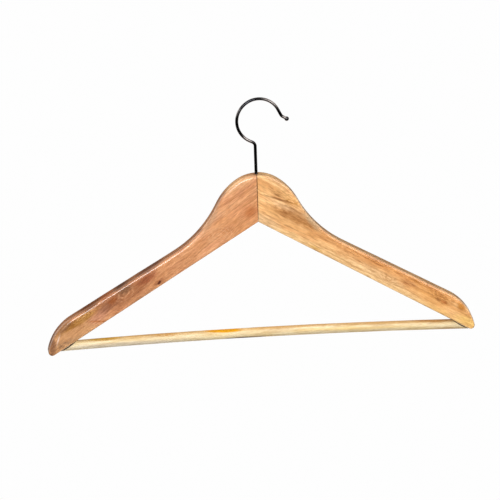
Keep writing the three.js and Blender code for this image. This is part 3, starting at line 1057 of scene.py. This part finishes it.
BAR_WOOD = {
    "fibres": (1, 0, 0),
    "end_grain": 0.3,
    "seed": 21.0,
    "grain_turn": 0,
    "pith": (12 * MM, -9 * MM),
    "ring": 2.2 * MM,
    "wander": 5 * MM,
    "fray": 0.9 * MM,
    "swells": [],
    "ring_strength": 0.1,
    "light": "#e8dab6",
    "deep": "#ddc898",
    "tint": "#e2d0a8",
    "tint_strength": 0.5,
    "streak": 0.08,
    "fleck": 0.05,
    "fibre": 0.04,
    "edge": None,
    "glue_line": None,
    "roughness": 0.6,
    "specular": 0.25,
    "coat": 0.05,
    "coat_roughness": 0.3,
    "spots": [
        # The first three lay darker golden bands along the upper side of the bar: painted shade there.
        Spot(30, 5.2, 80, 2.6, "#bd9458", 0.8, deep=40, core=0.35, ragged=0.5),
        Spot(132, 3.0, 150, 3.0, "#bb945c", 0.8, deep=40, core=0.4, turn=1.8, ragged=0.5),
        Spot(-120, 6.3, 130, 4.4, "#b8935a", 0.85, deep=40, core=0.3, ragged=0.5),
        Spot(100, -1, 90, 2.5, "#e6cb8c", 0.7, deep=20, ragged=0.8, turn=1.8),
        Spot(-140, -3, 90, 5, "#dcd3bf", 0.85, deep=30, core=0.4),
        Spot(0, -5.2, 90, 2.0, "#dcb673", 0.7, deep=30),
        Spot(-42, 5.6, 26, 2.8, "#cc9200", 1.0, deep=60, core=0.6, ragged=0.35, turn=3),
        Spot(-165, 4.6, 28, 2.4, "#b58d2f", 0.95, deep=40, core=0.3),
        Spot(-100, 4.6, 18, 2.2, "#b0803c", 0.85, deep=40, core=0.3, speckled=True),
        Spot(-18, -4.4, 26, 2.2, "#55361a", 1.0, deep=60, core=0.55, ragged=0.9),
        Spot(182, 1.0, 34, 2.4, "#ab7b40", 0.7, deep=40, core=0.3, turn=2, ragged=0.6),
        Spot(194, -8.0, 22, 2.8, "#b98f52", 0.7, deep=20, turn=2),
        # Dark lines where the bar goes into each arm: painted shadow of the arm's lower edge on the bar.
        Spot(208.3, -5.1, 14, 0.75, "#3d2614", 1.0, deep=60, turn=UNDERSIDE_SLOPE, core=0.4, ragged=0.05),
        Spot(-202.1, -1.5, 14, 1.0, "#33200f", 1.0, deep=60, turn=-UNDERSIDE_SLOPE, core=0.4, ragged=0.05),
    ],
}

DOWEL_WOOD = {
    **BAR_WOOD,
    "seed": 33.0,
    "light": "#ecd3a4",
    "deep": "#dcb988",
    "tint": "#d9b98c",
    "roughness": 0.65,
    "coat": 0.0,
    "spots": [],
}

# A metal's look: its colour, its lighter colour for wear and for painted glints, its roughness, and how
# strong its drawing lines are.
BLACK_NICKEL = {"colour": "#2a2b2f", "wear_and_glint": "#8c8d93", "roughness": 0.15, "scratch": 0.03}
ZINC = {"colour": "#a9abb0", "wear_and_glint": "#c8c9cc", "roughness": 0.3, "scratch": 0.12}
BRIGHT_STEEL = {"colour": "#9a9ba0", "wear_and_glint": "#b9babd", "roughness": 0.26, "scratch": 0.1}


def glint_places():
    """Where the hook is painted lighter, like wear, so that its glints show brighter: (a point on the wire,
    how far the patch reaches).
    """
    route = hook_route()
    tail = NOSE_RUN + NOSE_BEND[0] * math.radians(NOSE_BEND[1]) + NOSE_TAIL
    upper = RING_UPPER[0] * math.radians(-RING_UPPER[1])
    lower = RING_LOWER[0] * math.radians(-RING_LOWER[1])
    ring_top = route.length - tail - upper
    ring_start = ring_top - lower
    places = []
    for distance, reach in (
        (ring_start + 6 * MM, 8 * MM),
        (ring_start + 0.75 * lower, 7 * MM),
        (ring_top + 0.72 * upper, 14 * MM),
        (route.length - 3 * MM, 4 * MM),
    ):
        point, _ = route.at(distance)
        places.append(((point.x, 0, point.y), reach))
    return places


def metal(name, look, glint_spots=()):
    """Metal with faint drawing lines and smudges, lighter in random patches of wear and in given patches that
    paint its glints brighter.
    """
    g = material_graph(name)
    place = g.coordinate("Object")
    smudge = g.fade(g.cells(place, 6 * MM, 6 * MM, detail=3, seed=4), 0.35, 0.7)
    lines = g.cells(place, 0.35 * MM, 3 * MM, detail=3, seed=8)
    grime = g.cells(place, 2.5 * MM, 2.5 * MM, detail=4, seed=12)
    wear_and_glint = g.calc("MULTIPLY", g.fade(grime, 0.6, 0.72), 0.15)
    # Painted highlights: lighter patches on the wire where its glints fall, made to look like wear.
    for point, reach in glint_spots:
        near = g.fade(g.length(g.vector("SUBTRACT", place, point)), 0.3 * reach, reach, 1.0, 0.0)
        near = g.calc("MULTIPLY", near, g.fade(grime, 0.3, 0.6, 0.4, 0.9))
        wear_and_glint = g.calc("MAXIMUM", wear_and_glint, near)
    shade = g.mix(wear_and_glint, srgb(look["colour"]), srgb(look["wear_and_glint"]))
    rough = g.calc("ADD", look["roughness"], g.calc("MULTIPLY", g.calc("ADD", smudge, wear_and_glint), 0.07))
    bump = g.node("Bump", {"Strength": look["scratch"], "Distance": 0.02 * MM, "Height": lines})
    return g.finish(Base_Color=shade, Metallic=1.0, Roughness=rough, Normal=bump.outputs[0])


# ---------------------------------------------------------------- stage

def add_camera():
    """The camera, placed by its azimuth and elevation about the aim and rolled about its line of sight."""
    azimuth = math.radians(CAMERA_AZIMUTH)
    elevation = math.radians(CAMERA_ELEVATION)
    roll = math.radians(CAMERA_ROLL)
    level = Vector((math.cos(azimuth), math.sin(azimuth), 0))
    flat = math.cos(elevation)
    back = Vector((math.sin(azimuth) * flat, -math.cos(azimuth) * flat, math.sin(elevation)))
    upright = back.cross(level)
    right = level * math.cos(roll) + upright * math.sin(roll)
    up = upright * math.cos(roll) - level * math.sin(roll)
    data = bpy.data.cameras.new("camera")
    data.lens = CAMERA_LENS
    data.clip_start = 0.1
    data.clip_end = 100
    camera = bpy.data.objects.new("camera", data)
    bpy.context.scene.collection.objects.link(camera)
    orientation = Matrix((right, up, back)).transposed().to_4x4()
    camera.matrix_world = Matrix.Translation(CAMERA_AIM + back * CAMERA_DISTANCE) @ orientation
    bpy.context.scene.camera = camera


def add_key_light():
    """A rectangular lamp aimed at the hanger's middle."""
    data = bpy.data.lights.new("key", "AREA")
    data.shape = "RECTANGLE"
    data.size = KEY_WIDTH
    data.size_y = KEY_HEIGHT
    data.energy = KEY_RADIANCE * math.pi * KEY_WIDTH * KEY_HEIGHT
    lamp = bpy.data.objects.new("key", data)
    bpy.context.scene.collection.objects.link(lamp)
    lamp.location = KEY_PLACE
    lamp.rotation_euler = (CAMERA_AIM - lamp.location).to_track_quat("-Z", "Y").to_euler()


def add_world():
    """White paper where the camera looks past the hanger, and a dim warm studio where light comes from."""
    world = bpy.data.worlds.new("studio")
    g = Graph(world)
    ray = g.coordinate("Generated")
    glow = 0.0
    for way, none, full, glow_at_none, glow_at_full in STUDIO_LIGHTS:
        toward = g.dot(ray, Vector(way).normalized())
        glow = g.calc("ADD", glow, g.fade(toward, none, full, glow_at_none, glow_at_full))
    studio = g.node("Background", {"Color": srgb(STUDIO_COLOUR), "Strength": glow}).outputs[0]
    paper = g.node("Background", {"Color": PAPER_WHITE}).outputs[0]
    seen = g.node("LightPath", {}).outputs["Is Camera Ray"]
    g.node("OutputWorld", {"Surface": g.node("MixShader", {0: seen, 1: studio, 2: paper}).outputs[0]})
    bpy.context.scene.world = world


def add_floor():
    """A plain pale floor well below the hanger. Only the camera sees it, and only from above."""
    half = FLOOR_SIZE / 2
    z = CAD_BOX[0].z - FLOOR_DROP
    corners = [(-half, -half, z), (half, -half, z), (half, half, z), (-half, half, z)]
    mesh = bpy.data.meshes.new("floor")
    mesh.from_pydata(corners, [], [(0, 1, 2, 3)])
    floor = bpy.data.objects.new("floor", mesh)
    bpy.context.scene.collection.objects.link(floor)
    g = material_graph("pale_floor")
    white = g.node("Emission", {"Color": PAPER_WHITE}).outputs[0]
    clear = g.node("BsdfTransparent", {}).outputs[0]
    underneath = g.node("NewGeometry", {}).outputs["Backfacing"]
    g.node("OutputMaterial", {"Surface": g.node("MixShader", {0: underneath, 1: white, 2: clear}).outputs[0]})
    mesh.materials.append(g.owner)
    for ray in ("diffuse", "glossy", "transmission", "shadow"):
        setattr(floor, "visible_" + ray, False)


def add_stage():
    add_camera()
    add_world()
    add_floor()
    add_key_light()
    bpy.context.scene.view_settings.view_transform = "Standard"


# ---------------------------------------------------------------- assembly

def install(obj, body, node, material):
    """Puts a finished piece in a node's stead."""
    obj.data.materials.clear()
    obj.data.materials.append(material)
    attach(obj, body)
    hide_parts(node)


def build_arms():
    looks = {"left": LEFT_WOOD, "right": RIGHT_WOOD}
    for name, side in SIDES.items():
        half = arm(name + "_arm_wood", side)
        carve(half, stem_bore())
        carve(half, dowel_hole("joint_dowel_front"))
        carve(half, dowel_hole("joint_dowel_back"))
        carve(half, bar_socket())
        carve(half, brad_hole(side))
        g = material_graph(name + "_arm_wood")
        material = wood(g, arm_place(g, side), looks[name])
        install(half, "wooden_frame", name + "_arm", material)


def build_bar():
    g = material_graph("bar_wood")
    install(trouser_bar(), "wooden_frame", "trouser_bar", wood(g, bar_place(g), BAR_WOOD))


def build_dowels():
    g = material_graph("dowel_wood")
    material = wood(g, g.coordinate("Object"), DOWEL_WOOD)
    for name in ("joint_dowel_front", "joint_dowel_back"):
        install(dowel(name + "_wood", name), "wooden_frame", name, material)


def build_hook():
    steel = metal("black_nickel", BLACK_NICKEL, glint_places())
    install(hook(), "hook_assembly", "hook", steel)
    install(washer(), "hook_assembly", "hook_washer", metal("zinc", ZINC))


def build_brads():
    material = metal("bright_steel", BRIGHT_STEEL)
    for name, side in SIDES.items():
        install(brad("brad_" + name, side), "wooden_frame", "bar_brad_" + name, material)


add_stage()
build_arms()
build_bar()
build_dowels()
build_hook()
build_brads()
